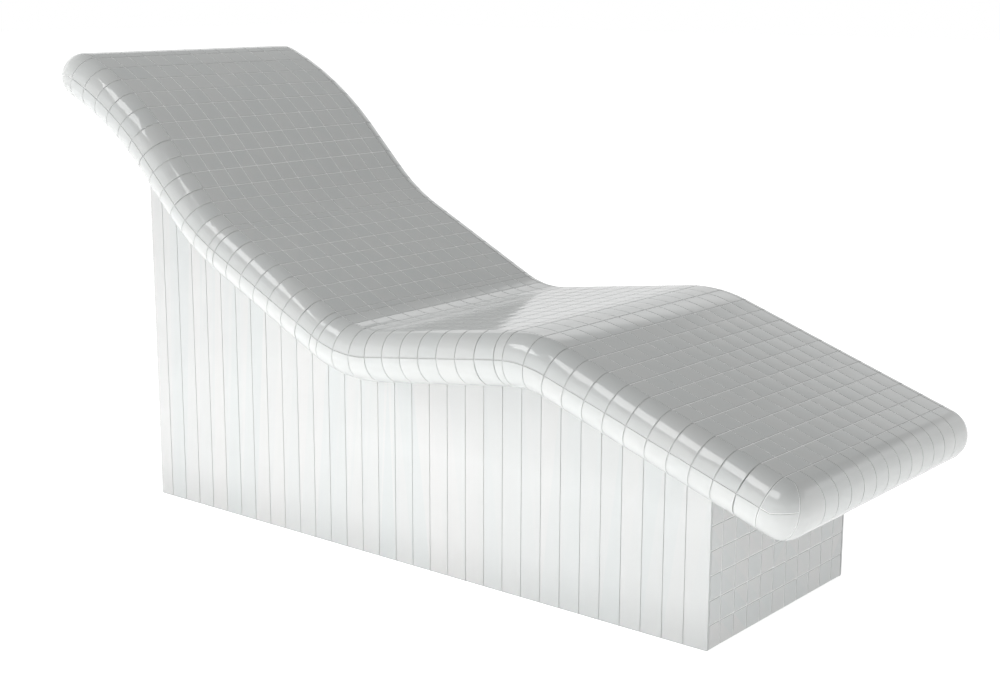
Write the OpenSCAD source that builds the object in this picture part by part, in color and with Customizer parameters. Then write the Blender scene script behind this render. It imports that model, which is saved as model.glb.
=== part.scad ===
/* [Body line] */
// Slope of the head rest, negative where it falls towards the foot
head_slope = -22.3; // [-24:0.1:-20]
// Length of the upper back, from corner to corner
back_len = 353; // [300:1:450]
// Slope of the upper back
back_slope = -45; // [-47:0.1:-42]
// Length of the lower back, from corner to corner
lumbar_len = 464; // [400:1:560]
// Slope of the lower back
lumbar_slope = -26.4; // [-30:0.1:-22]
// Length of the thigh rest, from corner to corner
thigh_len = 460; // [400:1:520]
// Slope of the thigh rest, which rises to the knee
thigh_slope = 7.4; // [4:0.1:11]
// Length of the leg rest, from its corner with the thigh rest to its end
leg_len = 544; // [450:1:620]
// Slope of the leg rest
leg_slope = -19.1; // [-23:0.1:-15]
// Bend radius under the nape, at the middle of the shell
nape_r = 700; // [600:5:800]
// Bend radius between the two parts of the back
lumbar_r = 464; // [350:1:600]
// Bend radius of the seat
seat_r = 255; // [200:1:300]
// Bend radius of the knee
knee_r = 247; // [200:1:300]
// Height of the corner where the lower back meets the thigh rest
seat_h = 429; // [400:1:480]

/* [Shell] */
// Half the thickness of the shell, which is also the radius of its round rim
shell_r = 52; // [46:1:60]
// Thickness of the reinforced mortar coat on the foam
coat_t = 4; // [3:0.5:6]
// Thickness of the adhesive bed under the tiles
bed_t = 3; // [2:0.5:4]

/* [Mosaic] */
// Distance from tile to tile across the top
tile_pitch = 46; // [43:0.5:49]
// Width of the joints
joint_w = 2; // [1.5:0.1:3]
// Thickness of the tiles
tile_t = 4; // [3:0.5:6]
// Depth of the grout below the face of the tiles
grout_drop = 0.8; // [0.4:0.1:1.5]
// Tile columns across the top
columns = 13; // [11:2:15]
// Tile rows over the nape bend
nape_rows = 6; // [4:1:7]
// Tile rows on the flat of the upper back
back_rows = 3; // [2:1:4]
// Full tile rows over the bend between the two parts of the back
waist_rows = 3; // [2:1:4]
// Tile rows on the flat of the lower back
lumbar_rows = 7; // [5:1:8]
// Full tile rows in the seat bend
seat_rows = 3; // [2:1:4]
// Tile rows on the flat of the thigh rest
thigh_rows = 7; // [5:1:8]
// Full tile rows over the knee bend
knee_rows = 2; // [1:1:3]
// Tile rows on the flat of the leg rest
leg_rows = 10; // [8:1:12]
// Width of the cut rows at the waist, at the seat and at the knee
cut_row = 20; // [14:1:30]
// Flat lip of the rim tiles at the head end, over which the head rest is straight
head_lip = 16; // [10:0.5:30]
// Flat lip of the rim tiles at the foot end
foot_lip = 18; // [10:0.5:30]
// Height of the lengthwise joint of the rim above the middle of the shell
joint_rise = 6; // [0:0.5:10]
// Angle of each round corner, from the long side on, that its corner tiles take; the end tile has the rest
corner_turn = 55; // [45:1:70]
// Angle between the shell and the joint of the corner tiles, which keeps that joint about level
corner_tilt = 24; // [15:1:30]

/* [Base] */
// Horizontal distance by which the head end of the shell stands out past the base
head_overhang = 197; // [180:1:260]
// Horizontal distance by which the foot end of the shell stands out past the base
foot_overhang = 219.4; // [180:0.1:300]
// Distance by which each long side of the shell stands out past the base
side_overhang = 100.5; // [86:0.5:130]
// Thickness of the foam boards of the base
board_t = 50; // [40:1:70]
// Number of cross ribs inside the base
ribs = 3; // [1:1:4]
// Thickness of the adhesive between the base and the shell
bead_t = 3; // [2:0.5:6]
// Height of the lower edge of the base tiles above the floor
floor_gap = 2; // [1:0.5:5]
// Width of the first tile strip at the head end of the long sides
first_strip = 38; // [20:1:46]
// Width of the first tile column at the near corner of the foot face
first_column = 42; // [20:1:46]
// Diameter of the dowels between the shell and the base
dowel_d = 20; // [12:1:25]
// Length of the dowels between the shell and the base
dowel_len = 110; // [80:1:140]

/* [Heating] */
// Width of the heating film
film_w = 440; // [300:1:560]
// Thickness of the heating film
film_t = 0.8; // [0.5:0.1:1.5]
// Distance from the head end of the shell to the film, along the shell
film_start = 190; // [100:1:400]
// Distance from the film to the foot end of the shell, along the shell
film_end = 150; // [100:1:400]
// Width of the copper strips along the edges of the film
busbar_w = 14; // [8:1:25]
// Thickness of the copper strips
busbar_t = 0.4; // [0.2:0.1:0.8]
// Length of the pocket in the foam for the connections, along the shell
pocket_len = 90; // [70:1:120]
// Width of the pocket
pocket_w = 70; // [60:1:100]
// Outer diameter of the sensor sleeve
sleeve_d = 10; // [8:0.5:14]
// Length of the sensor sleeve
sleeve_len = 170; // [100:5:220]
// Diameter of the temperature sensor
sensor_d = 5; // [4:0.5:6]
// Diameter of the thread of the cable gland
gland_d = 20; // [16:1:25]
// Bore of the cable gland
gland_bore = 9; // [6:0.5:12]

/* [Hidden] */
$fn = 96;
// Distance by which a cut runs past what it cuts
over = 1;
// Gap between a piece and what it is bonded to
bond_gap = 0.3;
// Change of direction between two points of a faceted body line
facet_angle = 1.5;
// Facets in a full turn of a bend
bend_facets = 480;

// Radii of the layers, from the face of the tiles inwards
tile_back = shell_r - tile_t;
grout_top = shell_r - grout_drop;
bed_back = tile_back - bond_gap - bed_t;
core_r = bed_back - coat_t;

// The body line: straight parts joined by bends, each with its number
upper_back = 1;
lower_back = 2;
thigh = 3;
leg = 4;
nape = 0;
waist = 1;
seat = 2;
knee = 3;
slope = [head_slope, back_slope, lumbar_slope, thigh_slope, leg_slope];
bend_r = [nape_r, lumbar_r, seat_r, knee_r];
seg_len = [head_lip + tangent(nape), back_len, lumbar_len, thigh_len, leg_len];
last = len(slope) - 1;
function dir(a) = [cos(a), sin(a)];
function up(a) = [-sin(a), cos(a)];
function turn(i) = slope[i + 1] - slope[i];
function tangent(i) = bend_r[i] * tan(abs(turn(i)) / 2);
function bend_len(i) = bend_r[i] * abs(turn(i)) * PI / 180;
function line_len(i) = seg_len[i] - (i > 0 ? tangent(i - 1) : 0) - (i < last ? tangent(i) : 0);
function line_s(i) = i == 0 ? 0 : bend_s(i - 1) + bend_len(i - 1);
function bend_s(i) = line_s(i) + line_len(i);
total_s = bend_s(last);
// Corners of the body line, first from the head end and then with both ends equally far from the middle
function run(i) = i == 0 ? [0, 0] : run(i - 1) + seg_len[i - 1] * dir(slope[i - 1]);
shift = [-run(last + 1)[0] / 2, seat_h - run(seat + 1)[1]];
function line_start(i) = run(i) + shift + (i > 0 ? tangent(i - 1) : 0) * dir(slope[i]);
function bend_start(i) = run(i + 1) + shift - tangent(i) * dir(slope[i]);
function bend_centre(i) = bend_start(i) + sign(turn(i)) * bend_r[i] * up(slope[i]);
function bend_point(i, s, v) = let (a = slope[i] + turn(i) * (s - bend_s(i)) / bend_len(i))
    bend_centre(i) + (v - sign(turn(i)) * bend_r[i]) * up(a);
function line_point(i, s, v) = line_start(i) + (s - line_s(i)) * dir(slope[i]) + v * up(slope[i]);
// Lengths along the shell between two limits that a faceted line needs, each with the part that it lies on
function bend_steps(i, a, b) = ceil(abs(turn(i)) * (b - a) / bend_len(i) / facet_angle);
function stops(from, to) = [
    for (i = [0:last]) each [
        if (min(to, bend_s(i)) > max(from, line_s(i)))
            each [[false, i, max(from, line_s(i))], [false, i, min(to, bend_s(i))]],
        if (i < last && min(to, line_s(i + 1)) > max(from, bend_s(i)))
            each bend_stops(i, max(from, bend_s(i)), min(to, line_s(i + 1)), from, to)
    ]
];
function bend_stops(i, a, b, from, to) = let (n = bend_steps(i, a, b)) [
    for (k = [0:n]) if ((k > 0 || from >= bend_s(i)) && (k < n || to <= line_s(i + 1)))
        [true, i, a + (b - a) * k / n]
];
// Points at one height over the middle of the shell, and the band between two heights
function level(from, to, v) = [
    for (q = stops(from, to)) q[0] ? bend_point(q[1], q[2], v) : line_point(q[1], q[2], v)
];
function reversed(list) = [for (i = [len(list) - 1:-1:0]) list[i]];
function band(from, to, low, high) = concat(level(from, to, low), reversed(level(from, to, high)));

// Tile rows, each with its kind of part, the part's number and both ends along the shell
function cells(bent, i, from, to, n) = [
    for (k = [0:n - 1]) [bent, i, from + (to - from) * k / n, from + (to - from) * (k + 1) / n]
];
field_start = bend_s(nape);
field_stop = total_s - foot_lip;
rows_upper_back = concat(
    cells(true, nape, field_start, line_s(upper_back), nape_rows),
    cells(false, upper_back, line_s(upper_back), bend_s(waist), back_rows)
);
rows_lower_back = concat(
    cells(true, waist, bend_s(waist), line_s(lower_back) - cut_row, waist_rows),
    cells(false, lower_back, line_s(lower_back), bend_s(seat), lumbar_rows)
);
rows_seat = concat(
    cells(true, seat, bend_s(seat) + cut_row, line_s(thigh), seat_rows),
    cells(false, thigh, line_s(thigh), bend_s(knee), thigh_rows)
);
rows_leg_rest = concat(
    cells(true, knee, bend_s(knee) + cut_row, line_s(leg), knee_rows),
    cells(false, leg, line_s(leg), field_stop, leg_rows)
);
waist_cut = [true, waist, line_s(lower_back) - cut_row, line_s(lower_back)];
seat_cut = [true, seat, bend_s(seat), bend_s(seat) + cut_row];
knee_cut = [true, knee, bend_s(knee), bend_s(knee) + cut_row];
rows_cut = [waist_cut, seat_cut, knee_cut];
all_rows = concat(rows_upper_back, rows_lower_back, rows_seat, rows_leg_rest, rows_cut);
// Straight and bent lengths in which the round rim is built
blocks = concat(
    [for (i = [0:last - 1]) [true, i, bend_s(i), line_s(i + 1)]],
    [for (i = [1:last]) [false, i, line_s(i), min(bend_s(i), field_stop)]]
);
field_half = columns * tile_pitch / 2;
// Height of a tile over the middle of the shell, or of the pocket cut for it
function tile_top(grow) = grow > 0 ? shell_r + over : shell_r;

// Base
shell_end = run(last + 1)[0] / 2 + shell_r;
base_head = -shell_end + head_overhang;
base_foot = shell_end - foot_overhang;
base_len = base_foot - base_head;
base_half = field_half + shell_r - side_overhang;
base_w = 2 * base_half;
skin = tile_t + bond_gap + bed_t;
seat_line = bed_back + bead_t;
inner_half = base_half - skin - board_t;
strips = floor((base_len - first_strip) / tile_pitch - 0.5) + 1;
face_columns = floor((base_w - first_column) / tile_pitch - 0.5) + 1;
strip_edges = concat([0], [for (k = [0:strips - 1]) first_strip + k * tile_pitch], [base_len]);
column_edges = concat(
    [tile_t + joint_w / 2],
    [for (k = [0:face_columns - 1]) first_column + k * tile_pitch],
    [base_w - tile_t - joint_w / 2]
);
tall = seat_h + run(0)[1] - run(seat + 1)[1] + shell_r;

// Heating and its connections
recess = film_t + busbar_t;
film_stop = total_s - film_end;
pocket_s = line_s(thigh) + pocket_len;
gland_flange_d = gland_d * 1.5;
gland_flange_t = gland_d * 0.3;
gland_cap_len = gland_d * 0.6;
gland_grip = gland_d * 0.9;
gland_len = gland_grip + gland_flange_t + gland_cap_len;
nut_d = gland_d * 1.6;
nut_t = gland_d * 0.28;
sleeve_wall = sleeve_d * 0.18;
sensor_len = sensor_d * 6;
sleeve_v = core_r - recess - bond_gap - sleeve_d / 2;

// Parts of the body line that hold dowels, and how far along each part they stand
dowel_parts = [lower_back, leg];
dowel_shares = [0.5, 0.25];

// Puts a piece on the body line, x across, y square to the surface and z along it
module place(p, a) {
    translate([p[0], 0, p[1]]) rotate([0, -a, 0]) rotate([90, 0, 90]) children();
}
module on_line(i, s) {
    place(line_point(i, s, 0), slope[i]) children();
}
// Sweeps a cross section, x across and y square to the surface, over a straight or bent length less a trim
module piece(r, trim = 0) {
    i = r[1];
    from = r[2] + trim;
    to = r[3] - trim;
    if (r[0]) bend_sweep(i, from, to) children();
    else on_line(i, from) linear_extrude(to - from) children();
}
module bend_sweep(i, from, to) {
    c = bend_centre(i);
    per_length = turn(i) / bend_len(i);
    end_slope = slope[i] + per_length * (to - bend_s(i));
    angle = abs(per_length) * (to - from);
    translate([c[0], 0, c[1]])
        if (turn(i) < 0)
            rotate([90, 0, 0]) rotate(end_slope + 90)
                rotate_extrude(angle = angle, $fn = bend_facets)
                    translate([bend_r[i], 0]) rotate(-90) children();
        else
            rotate([-90, 0, 0]) rotate(90 - end_slope)
                rotate_extrude(angle = angle, $fn = bend_facets)
                    translate([bend_r[i], 0]) rotate(90) children();
}
// Gives an outline, seen from the near side, a width across the part
module across(width, middle = 0) {
    translate([0, middle, 0]) rotate([90, 0, 0]) linear_extrude(width, center = true) children();
}
module band_across(from, to, low, high, width = 2 * field_half, middle = 0) {
    across(width, middle) polygon(band(from, to, low, high));
}
// Moves a rim section from the edge of the field to its place on one side
module rim(side) {
    if (side > 0) translate([field_half, 0]) children();
    else mirror([1, 0]) translate([field_half, 0]) children();
}
// Its circles start on the inner side, where no section of the rim needs them whole
module ring(low, high) {
    rotate(180) difference() {
        circle(high);
        if (low > 0) circle(low);
    }
}
// Half and quarter of a ring, on the outer side of the rim
module rim_half(low, high, gap = 0) {
    intersection() {
        ring(low, high);
        translate([gap, -high - over]) square([high + over, 2 * (high + over)]);
    }
}
// Part of the rim above or below its lengthwise joint, less half a joint
module rim_share(low, high, upper, gap) {
    reach = high + over;
    intersection() {
        ring(low, high);
        translate([gap, upper ? joint_rise + gap : -reach])
            square([reach, upper ? reach : reach + joint_rise - gap]);
    }
}
// Frame of one end: x outwards along the shell, y across it and z square to it
module end_frame(foot) {
    p = line_point(foot ? last : 0, foot ? total_s : 0, 0);
    translate([p[0], 0, p[1]]) rotate([0, -slope[foot ? last : 0], 0]) rotate(foot ? 0 : 180) children();
}
function lip(foot) = foot ? foot_lip : head_lip;
// Rim section carried round a corner of one end
module corner_sweep(side) {
    translate([0, side * field_half, 0]) rotate(side > 0 ? 0 : -90) rotate_extrude(angle = 90) children();
}
// Rim section over the lip of one end
module lip_sweep(side, lip) {
    translate([0, side * field_half, 0])
        if (side > 0) translate([-lip, 0, 0]) rotate([90, 0, 90]) linear_extrude(lip) children();
        else rotate([90, 0, -90]) linear_extrude(lip) children();
}
module round_corner(side, lip) {
    corner_sweep(side) children();
    lip_sweep(side, lip) children();
}
// Half round of one end over the whole field, with its lips
module end_half(foot, low, high) {
    end_frame(foot) {
        across(2 * field_half) {
            rim_half(low, high);
            translate([-lip(foot), low]) square([lip(foot), high - low]);
            translate([-lip(foot), -high]) square([lip(foot), high - low]);
        }
        for (side = [-1, 1]) round_corner(side, lip(foot)) rim_half(low, high, bond_gap);
    }
}
module column_row(low, high, grow = 0, outer = false) {
    w = tile_pitch - joint_w + 2 * grow;
    for (i = [0:columns - 1])
        if (!outer || i == 0 || i == columns - 1)
            translate([-field_half + tile_pitch * (i + 0.5) - w / 2, low]) square([w, high - low]);
}
// Field tiles of some rows, or the pockets for them in the bed when grown by a gap
module field_tiles(rows, grow = 0) {
    for (r = rows)
        piece(r, joint_w / 2 - grow)
            column_row(tile_back - grow, tile_top(grow), grow);
}
module rim_tiles(side, upper, grow = 0) {
    gap = joint_w / 2 - grow;
    for (r = all_rows)
        piece(r, gap) rim(side) rim_share(tile_back - grow, tile_top(grow), upper, gap);
}
// Outline of the tiles of an end: a half round with a flat lip above and below
module end_tile_outline(foot, grow) {
    high = tile_top(grow);
    thick = high - tile_back + grow;
    flat = lip(foot) - joint_w / 2 + grow;
    rim_half(tile_back - grow, high);
    translate([-flat, tile_back - grow]) square([flat, thick]);
    translate([-flat, -high]) square([flat, thick]);
}
// Room beside the joint that runs over a round corner, on the side of the end or of the long side
module corner_room(side, to_end, gap) {
    reach = shell_r + 2 * over;
    start = to_end ? -(side + 1) * reach - side * gap : (side - 1) * reach + side * gap;
    translate([0, side * field_half, 0]) rotate(side * (90 - corner_turn))
        translate([-reach, start, -reach]) cube(2 * reach);
}
// Room above or below the joint of the corner tiles
module joint_room(foot, upper, gap) {
    reach = 2 * shell_r;
    half = field_half + reach;
    translate([0, 0, joint_rise + (upper ? gap : -gap)]) rotate([0, foot ? -corner_tilt : corner_tilt, 0])
        translate([-reach, -half, upper ? 0 : -reach]) cube([2 * reach, 2 * half, reach]);
}
// The last end tile reaches round the corner as far as the corner tiles
module end_tile_wing(grow) {
    gap = joint_w / 2 - grow;
    low = tile_back - grow;
    high = tile_top(grow);
    intersection() {
        union() {
            across(gap, field_half - gap / 2) rim_half(low, high);
            corner_sweep(1) rim_half(low, high, bond_gap);
        }
        corner_room(1, true, gap);
    }
}
module end_tiles(foot, grow = 0) {
    w = tile_pitch - joint_w + 2 * grow;
    end_frame(foot) {
        for (i = [1:columns - 2])
            across(w, -field_half + tile_pitch * (i + 0.5)) end_tile_outline(foot, grow);
        for (roll = [0, 180]) rotate([roll, 0, 0]) {
            across(w, field_half - tile_pitch / 2) end_tile_outline(foot, grow);
            end_tile_wing(grow);
        }
    }
}
module corner_tile(foot, side, upper, grow = 0) {
    gap = joint_w / 2 - grow;
    low = tile_back - grow;
    high = tile_top(grow);
    end_frame(foot) {
        intersection() {
            corner_sweep(side) rim_half(low, high, gap);
            corner_room(side, false, gap);
            joint_room(foot, upper, gap);
        }
        lip_sweep(side, lip(foot) - gap) rim_share(low, high, upper, gap);
    }
}
module corner_tiles_of(foot, grow = 0) {
    for (side = [-1, 1])
        for (upper = [false, true])
            corner_tile(foot, side, upper, grow);
}
// Area below the shell, down to the floor, with its top at one height on the underside
module under_shell(v) {
    line = level(0, total_s, v);
    polygon(concat(line, [[line[len(line) - 1][0], -over], [line[0][0], -over]]));
}
module base_side(from, to, low, v) {
    intersection() {
        under_shell(v);
        translate([from, low]) square([to - from, tall]);
    }
}
module base_block(grow) {
    translate([base_head - grow, -base_half - grow, -over])
        cube([base_len + 2 * grow, base_w + 2 * grow, tall + 2 * over]);
}
function row_x(r, s) = (r[0] ? bend_point(r[1], s, -shell_r) : line_point(r[1], s, -shell_r))[0];
function row_inside(r) = row_x(r, r[2]) > base_head + joint_w && row_x(r, r[3]) < base_foot - joint_w;
module underside_tiles(grow = 0) {
    module row(r, outer) {
        piece(r, joint_w / 2 - grow) mirror([0, 1])
            column_row(tile_back - grow, tile_top(grow), grow, outer);
    }
    for (r = all_rows)
        if (row_inside(r)) row(r, true);
        else difference() {
            row(r, false);
            base_block(joint_w - grow);
        }
}
module dowel_places() {
    for (k = [0:len(dowel_parts) - 1])
        for (side = [-1, 1])
            on_line(dowel_parts[k], line_s(dowel_parts[k]) + line_len(dowel_parts[k]) * dowel_shares[k])
                translate([side * (inner_half + board_t / 2), -bed_back, 0]) rotate([90, 0, 0]) children();
}
module dowel_bores() {
    dowel_places() cylinder(d = dowel_d + 2 * bond_gap, h = dowel_len + 2 * bond_gap, center = true);
}

module film_recess() {
    w = film_w + 2 * bond_gap;
    band_across(film_start - bond_gap, film_stop + bond_gap, core_r - recess, core_r + over, w);
}
module connection_pocket() {
    on_line(thigh, pocket_s - pocket_len / 2) translate([-pocket_w / 2, -core_r - over, 0])
        cube([pocket_w, 2 * core_r + over, pocket_len]);
}
module sleeve_groove() {
    w = sleeve_d + 2 * bond_gap;
    on_line(thigh, pocket_s + pocket_len / 2 - over) translate([-w / 2, sleeve_v - w / 2, 0])
        cube([w, w + bond_gap + over, sleeve_len + over]);
}
module foam_block(from, to) {
    color("lightcyan") difference() {
        band_across(from, to, -core_r, core_r);
        film_recess();
        dowel_bores();
        children();
    }
}
module foam_back() foam_block(field_start, bend_s(seat) - bond_gap / 2);
module foam_seat() {
    foam_block(bend_s(seat) + bond_gap / 2, bend_s(knee) - bond_gap / 2) {
        connection_pocket();
        sleeve_groove();
    }
}
module foam_legs() foam_block(bend_s(knee) + bond_gap / 2, field_stop);
module rim_foam(side) {
    for (b = blocks) piece(b, bond_gap / 2) rim(side) rim_half(0, core_r, bond_gap);
}
module rim_foam_near() color("lightcyan") rim_foam(-1);
module rim_foam_far() color("lightcyan") rim_foam(1);
module end_foam(foot) {
    end_frame(foot) {
        across(2 * field_half) {
            rim_half(0, core_r);
            translate([-lip(foot) + bond_gap, -core_r]) square([lip(foot) - bond_gap, 2 * core_r]);
        }
        for (side = [-1, 1]) round_corner(side, lip(foot) - bond_gap) rim_half(0, core_r, bond_gap);
    }
}
module end_foam_head() color("lightcyan") end_foam(false);
module end_foam_foot() color("lightcyan") end_foam(true);

module coat_top() color("gray") band_across(field_start, field_stop, core_r, bed_back);
module coat_underside() {
    color("gray") difference() {
        band_across(field_start, field_stop, -bed_back, -core_r);
        dowel_bores();
        gland_place() cylinder(d = gland_d + 2 * bond_gap, h = 4 * coat_t, center = true);
    }
}
module rim_coat(side) {
    for (b = blocks) piece(b, bond_gap / 2) rim(side) rim_half(core_r, bed_back, bond_gap);
}
module rim_coat_near() color("gray") rim_coat(-1);
module rim_coat_far() color("gray") rim_coat(1);
module end_coat_head() color("gray") end_half(false, core_r, bed_back);
module end_coat_foot() color("gray") end_half(true, core_r, bed_back);

module field_bed(from, to, rows) {
    color("gainsboro") difference() {
        band_across(from, to, bed_back, grout_top);
        field_tiles(rows, bond_gap);
    }
}
module bed_upper_back() field_bed(field_start, bend_s(waist), rows_upper_back);
module bed_lower_back() field_bed(bend_s(waist), bend_s(seat), concat(rows_lower_back, [waist_cut]));
module bed_seat() field_bed(bend_s(seat), bend_s(knee), concat(rows_seat, [seat_cut]));
module bed_leg_rest() field_bed(bend_s(knee), field_stop, concat(rows_leg_rest, [knee_cut]));
module bed_underside() {
    color("gainsboro") difference() {
        band_across(field_start, field_stop, -grout_top, -bed_back);
        base_block(0);
        underside_tiles(bond_gap);
    }
}
module rim_bed(side) {
    difference() {
        for (b = blocks) piece(b, bond_gap / 2) rim(side) rim_half(bed_back, grout_top, bond_gap);
        rim_tiles(side, true, bond_gap);
        rim_tiles(side, false, bond_gap);
    }
}
module rim_bed_near() color("gainsboro") rim_bed(-1);
module rim_bed_far() color("gainsboro") rim_bed(1);
module end_bed(foot) {
    difference() {
        end_half(foot, bed_back, grout_top);
        end_tiles(foot, bond_gap);
        corner_tiles_of(foot, bond_gap);
    }
}
module end_bed_head() color("gainsboro") end_bed(false);
module end_bed_foot() color("gainsboro") end_bed(true);

// Mosaic
module tiles_upper_back() color("white") field_tiles(rows_upper_back);
module tiles_lower_back() color("white") field_tiles(rows_lower_back);
module tiles_seat() color("white") field_tiles(rows_seat);
module tiles_leg_rest() color("white") field_tiles(rows_leg_rest);
module cut_tiles() color("white") field_tiles(rows_cut);
module rim_tiles_near_upper() color("white") rim_tiles(-1, true);
module rim_tiles_near_lower() color("white") rim_tiles(-1, false);
module rim_tiles_far_upper() color("white") rim_tiles(1, true);
module rim_tiles_far_lower() color("white") rim_tiles(1, false);
module end_tiles_head() color("white") end_tiles(false);
module end_tiles_foot() color("white") end_tiles(true);
module corner_tiles() {
    color("white") {
        corner_tiles_of(false);
        corner_tiles_of(true);
    }
}
module tiles_underside() color("white") underside_tiles();

// Heating
module heating_film() {
    color("dimgray") band_across(film_start, film_stop, core_r - recess, core_r - busbar_t, film_w);
}
module busbars() {
    middle = (film_w - busbar_w) / 2;
    color("peru") for (side = [-1, 1])
        band_across(film_start, film_stop, core_r - busbar_t, core_r, busbar_w, side * middle);
}
module sensor_sleeve() {
    bore = sensor_d + 2 * bond_gap;
    color("white") on_line(thigh, pocket_s + pocket_len / 2) translate([0, sleeve_v, 0]) difference() {
        cylinder(d = sleeve_d, h = sleeve_len - bond_gap);
        translate([0, 0, -over]) cylinder(d = bore, h = sleeve_len - bond_gap - sleeve_wall + over);
    }
}
module temperature_sensor() {
    stop = pocket_s + pocket_len / 2 + sleeve_len - sleeve_wall - 2 * bond_gap;
    color("black") on_line(thigh, stop - sensor_len)
        translate([0, sleeve_v, 0]) cylinder(d = sensor_d, h = sensor_len);
}
// The gland hangs below the shell; z points down and is zero on the underside of the coat
module gland_place() {
    on_line(thigh, pocket_s) translate([0, -bed_back, 0]) rotate([90, 0, 0]) children();
}
module cable_gland() {
    color("dimgray") gland_place() difference() {
        union() {
            translate([0, 0, -gland_grip]) cylinder(d = gland_d, h = gland_grip + over);
            cylinder(d = gland_flange_d, h = gland_flange_t, $fn = 6);
            translate([0, 0, gland_flange_t - over]) cylinder(d = gland_d, h = gland_cap_len + over);
        }
        translate([0, 0, -gland_grip - over]) cylinder(d = gland_bore, h = gland_len + 2 * over);
    }
}
module gland_nut() {
    color("dimgray") gland_place() translate([0, 0, -coat_t - bond_gap - nut_t]) difference() {
        cylinder(d = nut_d, h = nut_t, $fn = 6);
        translate([0, 0, -over]) cylinder(d = gland_d + 2 * bond_gap, h = nut_t + 2 * over);
    }
}

// Base
module side_board(side) {
    difference() {
        across(board_t, side * (inner_half + board_t / 2))
            base_side(base_head + skin, base_foot - skin, 0, -seat_line);
        dowel_bores();
    }
}
module side_board_near() color("lightcyan") side_board(-1);
module side_board_far() color("lightcyan") side_board(1);
module cross_wall(from, thick) {
    across(2 * (inner_half - bond_gap)) base_side(from, from + thick, 0, -seat_line);
}
module head_board() color("lightcyan") cross_wall(base_head + skin, board_t);
module foot_board() color("lightcyan") cross_wall(base_foot - skin - board_t, board_t);
function rib_x(k) = base_head + base_len * k / (ribs + 1) - board_t / 2;
module cross_ribs() color("lightcyan") for (k = [1:ribs]) cross_wall(rib_x(k), board_t);
module bead_outline(from, to) {
    intersection() {
        polygon(band(0, total_s, -seat_line, -bed_back));
        translate([from, 0]) square([to - from, tall]);
    }
}
module bonding_bead() {
    wall = board_t + skin;
    color("white") difference() {
        union() {
            for (side = [-1, 1])
                across(wall, side * (base_half - wall / 2)) bead_outline(base_head, base_foot);
            for (x = concat([base_head + skin, base_foot - skin - board_t], [for (k = [1:ribs]) rib_x(k)]))
                across(2 * (inner_half - bond_gap)) bead_outline(x, x + board_t);
        }
        dowel_bores();
    }
}
module dowels() color("burlywood") dowel_places() cylinder(d = dowel_d, h = dowel_len, center = true);

// Half a joint at each inner edge of a strip; the outer ones reach the corners of the base
function strip_from(k) = strip_edges[k] + (k > 0 ? joint_w / 2 : 0);
function strip_to(k) = strip_edges[k + 1] - (k < len(strip_edges) - 2 ? joint_w / 2 : 0);
module side_strips(grow) {
    intersection() {
        under_shell(-seat_line - (grow > 0 ? 0 : joint_w / 2));
        for (k = [0:len(strip_edges) - 2])
            translate([base_head + strip_from(k) - grow, floor_gap - grow])
                square([strip_to(k) - strip_from(k) + 2 * grow, tall]);
    }
}
module base_tiles(side, grow = 0) {
    thick = tile_t + (grow > 0 ? grow + over : 0);
    across(thick, side * (base_half - tile_t - grow + thick / 2)) side_strips(grow);
}
// Room in the side beds for the outer columns of the face tiles
module face_notch(foot) {
    half = base_half - tile_t - joint_w + bond_gap;
    depth = tile_t + 2 * bond_gap;
    translate([foot ? base_foot - depth : base_head - over, -half, -over])
        cube([depth + over, 2 * half, tall + over]);
}
module base_bed(side) {
    thick = skin - grout_drop;
    difference() {
        across(thick, side * (base_half - skin + thick / 2))
            base_side(base_head + grout_drop, base_foot - grout_drop, 0, -seat_line);
        base_tiles(side, bond_gap);
        face_notch(false);
        face_notch(true);
    }
}
module base_bed_near() color("gainsboro") base_bed(-1);
module base_bed_far() color("gainsboro") base_bed(1);
module base_tiles_near() color("white") base_tiles(-1);
module base_tiles_far() color("white") base_tiles(1);
module face_squares(grow) {
    rows = ceil(tall / tile_pitch);
    less = joint_w - 2 * grow;
    for (k = [0:len(column_edges) - 2])
        for (j = [0:rows])
            translate([column_edges[k] + less / 2 - base_half, floor_gap + j * tile_pitch - grow])
                square([column_edges[k + 1] - column_edges[k] - less, tile_pitch - less]);
}
module face_tiles(foot, grow = 0) {
    thick = tile_t + (grow > 0 ? grow + over : 0);
    start = foot ? base_foot - tile_t - grow : base_head - (grow > 0 ? over : 0);
    intersection() {
        translate([start, 0, 0]) rotate([90, 0, 90]) linear_extrude(thick) face_squares(grow);
        across(base_w) under_shell(-seat_line - (grow > 0 ? 0 : joint_w / 2));
    }
}
// One layer of the bed of a face, between two depths below the face of the tiles
module face_layer(foot, width, shallow, deep) {
    start = foot ? base_foot - deep : base_head + shallow;
    across(width) base_side(start, start + deep - shallow, 0, -seat_line);
}
module face_bed(foot) {
    difference() {
        union() {
            face_layer(foot, base_w - 2 * skin, grout_drop, skin);
            face_layer(foot, base_w - 2 * (tile_t + joint_w), grout_drop, tile_t + bond_gap);
        }
        face_tiles(foot, bond_gap);
    }
}
module base_bed_head() color("gainsboro") face_bed(false);
module base_bed_foot() color("gainsboro") face_bed(true);
module base_tiles_head() color("white") face_tiles(false);
module base_tiles_foot() color("white") face_tiles(true);

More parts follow.
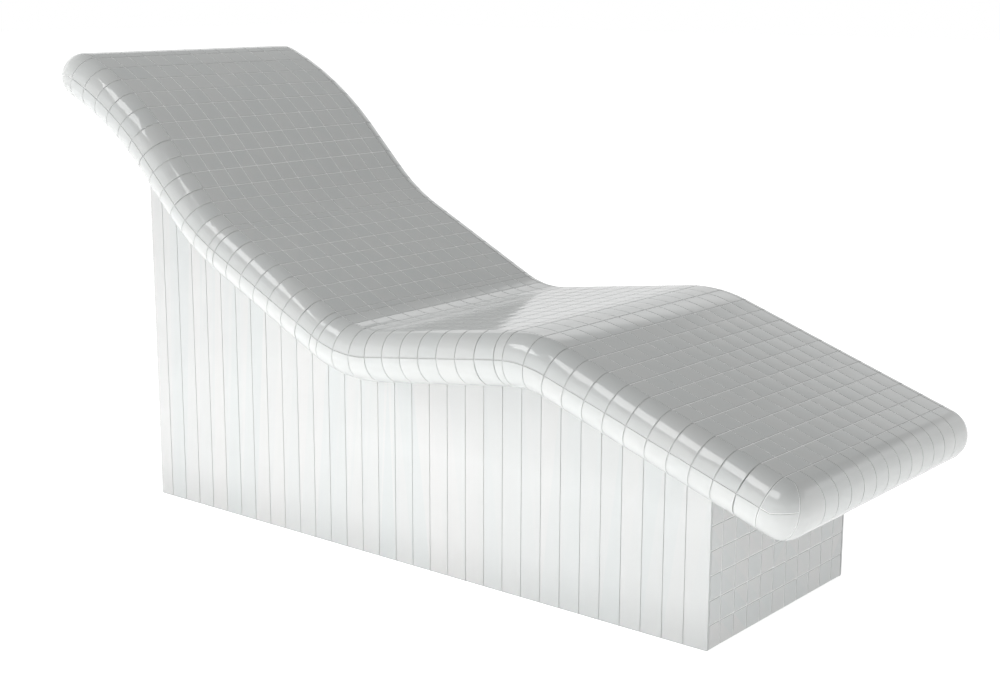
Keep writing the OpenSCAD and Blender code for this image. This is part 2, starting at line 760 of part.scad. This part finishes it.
foam_back();
foam_seat();
foam_legs();
rim_foam_near();
rim_foam_far();
end_foam_head();
end_foam_foot();
coat_top();
coat_underside();
rim_coat_near();
rim_coat_far();
end_coat_head();
end_coat_foot();
bed_upper_back();
bed_lower_back();
bed_seat();
bed_leg_rest();
bed_underside();
rim_bed_near();
rim_bed_far();
end_bed_head();
end_bed_foot();
tiles_upper_back();
tiles_lower_back();
tiles_seat();
tiles_leg_rest();
cut_tiles();
rim_tiles_near_upper();
rim_tiles_near_lower();
rim_tiles_far_upper();
rim_tiles_far_lower();
end_tiles_head();
end_tiles_foot();
corner_tiles();
tiles_underside();
heating_film();
busbars();
sensor_sleeve();
temperature_sensor();
cable_gland();
gland_nut();
side_board_near();
side_board_far();
head_board();
foot_board();
cross_ribs();
bonding_bead();
dowels();
base_bed_near();
base_bed_far();
base_bed_head();
base_bed_foot();
base_tiles_near();
base_tiles_far();
base_tiles_head();
base_tiles_foot();
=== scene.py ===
# Dresses the tiled spa lounger: glazed mosaic, grout, foam core, heating parts, studio floor and light
import math

import bpy
from mathutils import Matrix, Vector

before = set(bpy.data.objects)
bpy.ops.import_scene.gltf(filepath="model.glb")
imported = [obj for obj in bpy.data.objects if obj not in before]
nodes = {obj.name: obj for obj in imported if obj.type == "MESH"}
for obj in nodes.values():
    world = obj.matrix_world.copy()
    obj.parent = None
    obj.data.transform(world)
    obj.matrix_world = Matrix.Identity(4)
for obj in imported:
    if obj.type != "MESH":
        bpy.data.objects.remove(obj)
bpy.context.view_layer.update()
scene = bpy.context.scene


# Materials

class Graph:
    """A material's node tree with short calls for nodes and links."""

    def __init__(self, name):
        self.material = bpy.data.materials.new(name)
        self.material.use_nodes = True
        self.tree = self.material.node_tree
        self.shader = self.tree.nodes["Principled BSDF"]
        self.output = self.tree.nodes["Material Output"]
        self.where = self.add("ShaderNodeTexCoord").outputs["Object"]

    def add(self, kind, **inputs):
        node = self.tree.nodes.new(kind)
        for key, value in inputs.items():
            node.inputs[key.replace("_", " ")].default_value = value
        return node

    def link(self, source, target):
        self.tree.links.new(source, target)

    def set(self, **inputs):
        for key, value in inputs.items():
            self.shader.inputs[key.replace("_", " ")].default_value = value

    def noise(self, scale, detail=3.0, roughness=0.5, coords=None):
        node = self.add("ShaderNodeTexNoise", Scale=scale, Detail=detail, Roughness=roughness)
        self.link(coords or self.where, node.inputs["Vector"])
        return node.outputs["Fac"]

    def stretched(self, factors):
        node = self.add("ShaderNodeMapping")
        node.inputs["Scale"].default_value = factors
        self.link(self.where, node.inputs["Vector"])
        return node.outputs["Vector"]

    def ramp(self, fac, stops):
        node = self.add("ShaderNodeValToRGB")
        ends = node.color_ramp.elements
        while len(ends) < len(stops):
            ends.new(0.5)
        for end, (place, colour) in zip(ends, stops):
            end.position = place
            end.color = (*colour, 1.0)
        self.link(fac, node.inputs["Fac"])
        return node.outputs["Color"]

    def levels(self, fac, low, high):
        node = self.add("ShaderNodeMapRange")
        node.inputs["To Min"].default_value = low
        node.inputs["To Max"].default_value = high
        self.link(fac, node.inputs["Value"])
        return node.outputs["Result"]

    def mix(self, fac, first, second, kind="MIX"):
        node = self.add("ShaderNodeMix")
        node.data_type = "RGBA"
        node.blend_type = kind
        for socket, value in ((node.inputs[0], fac), (node.inputs[6], first), (node.inputs[7], second)):
            if isinstance(value, bpy.types.NodeSocket):
                self.link(value, socket)
            elif socket == node.inputs[0]:
                socket.default_value = value
            else:
                socket.default_value = (*value, 1.0)
        return node.outputs[2]

    def bump(self, height, strength, distance):
        node = self.add("ShaderNodeBump", Strength=strength, Distance=distance)
        self.link(height, node.inputs["Height"])
        self.link(node.outputs["Normal"], self.shader.inputs["Normal"])

    def island(self):
        return self.add("ShaderNodeNewGeometry").outputs["Random Per Island"]


GLAZE_IOR = 1.5
WAVE_SCALE = 14.0
WAVE_STRENGTH = 0.10
WAVE_DEPTH = 0.0006


def glaze(name, cool, warm, roughness):
    """White glazed ceramic: each tile a shade of its own, faint clouds and a slow waviness."""
    g = Graph(name)
    middle = [(a + b) / 2 for a, b in zip(cool, warm)]
    shade = g.ramp(g.island(), [(0.0, cool), (0.5, middle), (1.0, warm)])
    cloud = g.ramp(g.noise(9.0, 4.0), [(0.3, (0.985, 0.985, 0.985)), (0.7, (1.0, 1.0, 1.0))])
    g.link(g.mix(1.0, shade, cloud, "MULTIPLY"), g.shader.inputs["Base Color"])
    g.link(g.levels(g.noise(23.0, 3.0), roughness * 0.8, roughness * 1.3), g.shader.inputs["Roughness"])
    g.set(IOR=GLAZE_IOR)
    g.bump(g.noise(WAVE_SCALE, 1.0), WAVE_STRENGTH, WAVE_DEPTH)
    return g.material


def grain(name, dark, light, scale, roughness, strength, depth, stretch=None):
    """A matt or satin material with clouds of two tones and a fine grain."""
    g = Graph(name)
    coords = g.stretched(stretch) if stretch else None
    tone = g.ramp(g.noise(scale, 5.0, 0.6, coords), [(0.3, dark), (0.7, light)])
    g.link(tone, g.shader.inputs["Base Color"])
    g.link(g.levels(g.noise(scale * 3, 2.0, 0.5, coords), roughness * 0.9, min(1.0, roughness * 1.1)),
           g.shader.inputs["Roughness"])
    g.bump(g.noise(scale * 6, 4.0, 0.6, coords), strength, depth)
    return g.material


def metal(name, dark, light, roughness):
    """Bare metal with clouds of two tones and an uneven polish."""
    g = Graph(name)
    g.link(g.ramp(g.noise(40.0, 4.0), [(0.3, dark), (0.7, light)]), g.shader.inputs["Base Color"])
    g.link(g.levels(g.noise(90.0), roughness * 0.8, roughness * 1.4), g.shader.inputs["Roughness"])
    g.set(Metallic=1.0)
    return g.material


BEADS_PER_METRE = 230.0


def beads(name, low, high):
    """Moulded polystyrene: the outlines of its pressed beads."""
    g = Graph(name)
    cells = g.add("ShaderNodeTexVoronoi", Scale=BEADS_PER_METRE)
    g.link(g.where, cells.inputs["Vector"])
    g.link(g.ramp(cells.outputs["Distance"], [(0.1, high), (0.8, low)]), g.shader.inputs["Base Color"])
    g.set(Roughness=0.75)
    g.bump(cells.outputs["Distance"], 0.3, 0.0006)
    return g.material


shell_glaze = glaze("shell_glaze", (0.578, 0.596, 0.590), (0.596, 0.607, 0.599), roughness=0.07)
# The base's glaze is a slightly lighter copy of the shell's glaze: painted light that brightens the
# base's sides
base_glaze_painted_lighter = glaze("base_glaze_painted_lighter", (0.574, 0.596, 0.594), (0.611, 0.611, 0.606), roughness=0.10)
# One grout in two copies: a pale one, brightened past the tile as a painted highlight in the joints on
# top, and a grey one, darkened as painted shade in the joints of the rim and the base sides
pale_grout_painted_highlight = grain("pale_grout_painted_highlight", (0.92, 0.93, 0.925), (0.965, 0.97, 0.965),
                   scale=60.0, roughness=0.8, strength=0.35, depth=0.0004)
grey_grout_painted_shade = grain("grey_grout_painted_shade", (0.51, 0.518, 0.514), (0.60, 0.608, 0.605),
                   scale=60.0, roughness=0.85, strength=0.35, depth=0.0004)
mortar = grain("mortar", (0.38, 0.38, 0.37), (0.52, 0.52, 0.50),
               scale=25.0, roughness=0.9, strength=0.5, depth=0.0008)
adhesive = grain("adhesive", (0.60, 0.60, 0.58), (0.72, 0.72, 0.70),
                 scale=35.0, roughness=0.9, strength=0.5, depth=0.0008)
foam = beads("foam", (0.66, 0.73, 0.78), (0.82, 0.87, 0.90))
board = grain("board", (0.62, 0.70, 0.76), (0.72, 0.79, 0.84),
              scale=80.0, roughness=0.7, strength=0.3, depth=0.0004)
film = grain("film", (0.015, 0.015, 0.017), (0.035, 0.035, 0.038),
             scale=120.0, roughness=0.35, strength=0.1, depth=0.0001)
copper = metal("copper", (0.62, 0.30, 0.17), (0.80, 0.45, 0.28), roughness=0.28)
steel = metal("steel", (0.50, 0.50, 0.51), (0.62, 0.62, 0.63), roughness=0.3)
white_tube = grain("white_tube", (0.76, 0.76, 0.74), (0.84, 0.84, 0.82),
                   scale=50.0, roughness=0.4, strength=0.1, depth=0.0002)
polyamide = grain("polyamide", (0.020, 0.020, 0.022), (0.045, 0.045, 0.048),
                  scale=90.0, roughness=0.45, strength=0.25, depth=0.0002)
beech = grain("beech", (0.45, 0.29, 0.16), (0.66, 0.47, 0.29),
              scale=30.0, roughness=0.6, strength=0.4, depth=0.0004, stretch=(12.0, 12.0, 1.0))

# Beds whose joints get the grey grout, painted shade in the joints of the rim and the base sides; all
# others get the pale grout, brightened as a painted highlight
SHADED_GROUT_BEDS = ("rim_bed", "base_bed_near", "base_bed_far")
SINGLE_FINISHES = {
    "heating_film": film, "busbars": copper, "sensor_sleeve": white_tube, "temperature_sensor": steel,
    "cable_gland": polyamide, "gland_nut": polyamide, "bonding_bead": adhesive, "dowels": beech,
}


def finish_for(name):
    # Base tiles take the lighter copy of the glaze, as painted light
    if name.startswith("base_tiles"):
        return base_glaze_painted_lighter
    if "tiles" in name:
        return shell_glaze
    if "coat" in name:
        return mortar
    if "bed" in name:
        # Grey grout as painted shade on the rim and base sides, pale grout with a painted highlight
        # elsewhere
        return grey_grout_painted_shade if name.startswith(SHADED_GROUT_BEDS) else pale_grout_painted_highlight
    if "board" in name or name == "cross_ribs":
        return board
    if "foam" in name:
        return foam
    return SINGLE_FINISHES[name]


# Edges

TILE_BEVEL = 0.0007
TRIM_BEVEL = 0.0006
BEVEL_SEGMENTS = 2
BEVEL_ANGLE = math.radians(40)
WELD_REACH = 0.00002
FLAT_FACE_WEIGHT = 80
TRIM = ("cable_gland", "gland_nut", "sensor_sleeve", "temperature_sensor", "dowels")


def soften(piece, width):
    """Joins the split corners of a carried-over node and rounds its edges."""
    weld = piece.modifiers.new("weld", "WELD")
    weld.merge_threshold = WELD_REACH
    bevel = piece.modifiers.new("bevel", "BEVEL")
    bevel.width = width
    bevel.segments = BEVEL_SEGMENTS
    bevel.limit_method = "ANGLE"
    bevel.angle_limit = BEVEL_ANGLE
    bevel.use_clamp_overlap = True
    normals = piece.modifiers.new("normals", "WEIGHTED_NORMAL")
    normals.mode = "FACE_AREA"
    normals.weight = FLAT_FACE_WEIGHT


for name, piece in nodes.items():
    piece.data.materials.clear()
    piece.data.materials.append(finish_for(name))
    if "tiles" in name:
        soften(piece, TILE_BEVEL)
    elif name in TRIM:
        soften(piece, TRIM_BEVEL)


# Studio floor

FLOOR_SIZE = 60.0
FLOOR_GLOW = 0.70
FLOOR_DARK = (0.80, 0.80, 0.80)
FLOOR_LIGHT = (0.82, 0.82, 0.82)
WHITE = (1.0, 1.0, 1.0, 1.0)


def plane(name, size, material):
    mesh = bpy.data.meshes.new(name)
    h = size / 2
    mesh.from_pydata([(-h, -h, 0), (h, -h, 0), (h, h, 0), (-h, h, 0)], [], [(0, 1, 2, 3)])
    mesh.materials.append(material)
    piece = bpy.data.objects.new(name, mesh)
    scene.collection.objects.link(piece)
    return piece


def floor_material():
    """Pale floor that glows to the camera and in reflections, and keeps the shadow."""
    g = Graph("floor")
    g.tree.nodes.remove(g.shader)
    path = g.add("ShaderNodeLightPath")
    seen = g.add("ShaderNodeMath")
    seen.operation = "MAXIMUM"
    g.link(path.outputs["Is Camera Ray"], seen.inputs[0])
    g.link(path.outputs["Is Glossy Ray"], seen.inputs[1])
    tone = g.ramp(g.noise(0.7, 2.0), [(0.3, FLOOR_DARK), (0.7, FLOOR_LIGHT)])
    diffuse = g.add("ShaderNodeBsdfDiffuse")
    g.link(tone, diffuse.inputs["Color"])
    glow = g.add("ShaderNodeEmission")
    glow.inputs["Color"].default_value = WHITE
    level = g.add("ShaderNodeMath")
    level.operation = "MULTIPLY"
    level.inputs[1].default_value = FLOOR_GLOW
    g.link(seen.outputs[0], level.inputs[0])
    g.link(level.outputs[0], glow.inputs["Strength"])
    both = g.add("ShaderNodeAddShader")
    g.link(diffuse.outputs[0], both.inputs[0])
    g.link(glow.outputs[0], both.inputs[1])
    g.link(both.outputs[0], g.output.inputs["Surface"])
    return g.material


floor = plane("floor", FLOOR_SIZE, floor_material())


# Sky: white to the camera, even light for the surfaces, and a level by height for reflections

AMBIENT = 0.59
MIRROR_LEVEL = 1.27
# Height of the mirrored direction and share of MIRROR_LEVEL: even near the horizon, brightest
# above it where the seat mirrors it, dim overhead
MIRRORED = [(0.0, 0.78), (0.30, 0.78), (0.39, 1.0), (0.42, 1.0), (0.50, 0.34), (0.62, 0.24)]

world = bpy.data.worlds.new("studio")
scene.world = world
world.use_nodes = True
sky = world.node_tree
sky.nodes.clear()
out = sky.nodes.new("ShaderNodeOutputWorld")
path = sky.nodes.new("ShaderNodeLightPath")
coords = sky.nodes.new("ShaderNodeTexCoord")
split = sky.nodes.new("ShaderNodeSeparateXYZ")
sky.links.new(coords.outputs["Generated"], split.inputs[0])
heights = sky.nodes.new("ShaderNodeValToRGB")
heights.color_ramp.interpolation = "EASE"
steps = heights.color_ramp.elements
while len(steps) < len(MIRRORED):
    steps.new(0.5)
for step, (height, level) in zip(steps, MIRRORED):
    step.position = height
    step.color = (level, level, level, 1.0)
sky.links.new(split.outputs["Z"], heights.inputs["Fac"])


def background(strength):
    node = sky.nodes.new("ShaderNodeBackground")
    node.inputs["Color"].default_value = WHITE
    node.inputs["Strength"].default_value = strength
    return node


def choose(fac, first, second):
    """The second background where the ray is of the kind that fac tells, or else the first."""
    node = sky.nodes.new("ShaderNodeMixShader")
    sky.links.new(fac, node.inputs[0])
    sky.links.new(first.outputs[0], node.inputs[1])
    sky.links.new(second.outputs[0], node.inputs[2])
    return node


lit = background(AMBIENT)
mirrored = background(MIRROR_LEVEL)
sky.links.new(heights.outputs["Color"], mirrored.inputs["Color"])
white = background(1.0)
seen = choose(path.outputs["Is Glossy Ray"], lit, mirrored)
seen = choose(path.outputs["Is Transmission Ray"], seen, white)
seen = choose(path.outputs["Is Camera Ray"], seen, white)
sky.links.new(seen.outputs[0], out.inputs["Surface"])


# Lamps, in metres and watts: fills that no glaze mirrors, a bright floor, and two that only
# the glaze mirrors, as the streaks on the near rim

def softbox(name, place, aim, width, height, watts, diffuse=True, glossy=False):
    light = bpy.data.lights.new(name, "AREA")
    light.shape = "RECTANGLE"
    light.size = width
    light.size_y = height
    light.energy = watts
    piece = bpy.data.objects.new(name, light)
    scene.collection.objects.link(piece)
    piece.location = place
    piece.rotation_mode = "QUATERNION"
    piece.rotation_quaternion = (Vector(aim) - Vector(place)).to_track_quat("-Z", "Y")
    piece.visible_camera = False
    piece.visible_diffuse = diffuse
    piece.visible_glossy = glossy


softbox("key", (-3.1, -1.8, 1.75), (0.0, 0.0, 0.4), width=1.6, height=1.3, watts=54.0)
softbox("head_side", (-3.2, -1.2, 1.4), (0.0, 0.0, 0.4), width=2.0, height=1.6, watts=3.0)
softbox("top_head", (-1.7, 0.0, 2.4), (0.2, 0.0, 0.4), width=1.6, height=1.6, watts=7.0)
softbox("front", (0.7, -2.6, 0.2), (0.5, -0.3, 0.2), width=1.8, height=0.4, watts=7.0)
softbox("low_strip", (0.15, -0.95, 0.05), (0.15, -0.25, 0.05), width=1.9, height=0.06, watts=2.7)
softbox("foot", (1.5, 0.0, 0.05), (0.7, 0.0, 0.13), width=1.1, height=0.08, watts=2.1)
softbox("floor_glow", (0.2, -1.62, 0.012), (0.2, -1.62, 1.0),
        width=3.7, height=2.5, watts=15.0, glossy=True)
softbox("streak_legs", (0.35, -1.72, 2.5), (0.35, -1.72, 0.0),
        width=1.0, height=1.3, watts=20.0, diffuse=False, glossy=True)
softbox("streak_back", (-1.0, -1.5, 2.5), (-1.0, -1.5, 0.0),
        width=0.74, height=0.9, watts=11.0, diffuse=False, glossy=True)


# Camera of the photograph, fitted to the joints of the base

CAMERA_PLACE = (2.1695, -2.6272, 1.1557)
AZIMUTH = math.radians(-38.899)
DOWN = math.radians(12.163)
ROLL = math.radians(0.205)
SENSOR_WIDTH = 36.0
FOCAL_LENGTH = 60.02
NEAREST = 0.05
FARTHEST = 200.0

ahead = Vector((math.sin(AZIMUTH) * math.cos(DOWN), math.cos(AZIMUTH) * math.cos(DOWN), -math.sin(DOWN)))
right = Vector((math.cos(AZIMUTH), -math.sin(AZIMUTH), 0.0))
above = right.cross(ahead)
side = math.cos(ROLL) * right + math.sin(ROLL) * above
top = -math.sin(ROLL) * right + math.cos(ROLL) * above
lens = bpy.data.cameras.new("camera")
lens.sensor_width = SENSOR_WIDTH
lens.lens = FOCAL_LENGTH
lens.clip_start = NEAREST
lens.clip_end = FARTHEST
camera = bpy.data.objects.new("camera", lens)
scene.collection.objects.link(camera)
turned = Matrix((side, top, -ahead)).transposed()
camera.matrix_world = Matrix.Translation(CAMERA_PLACE) @ turned.to_4x4()
scene.camera = camera
scene.view_settings.view_transform = "Standard"
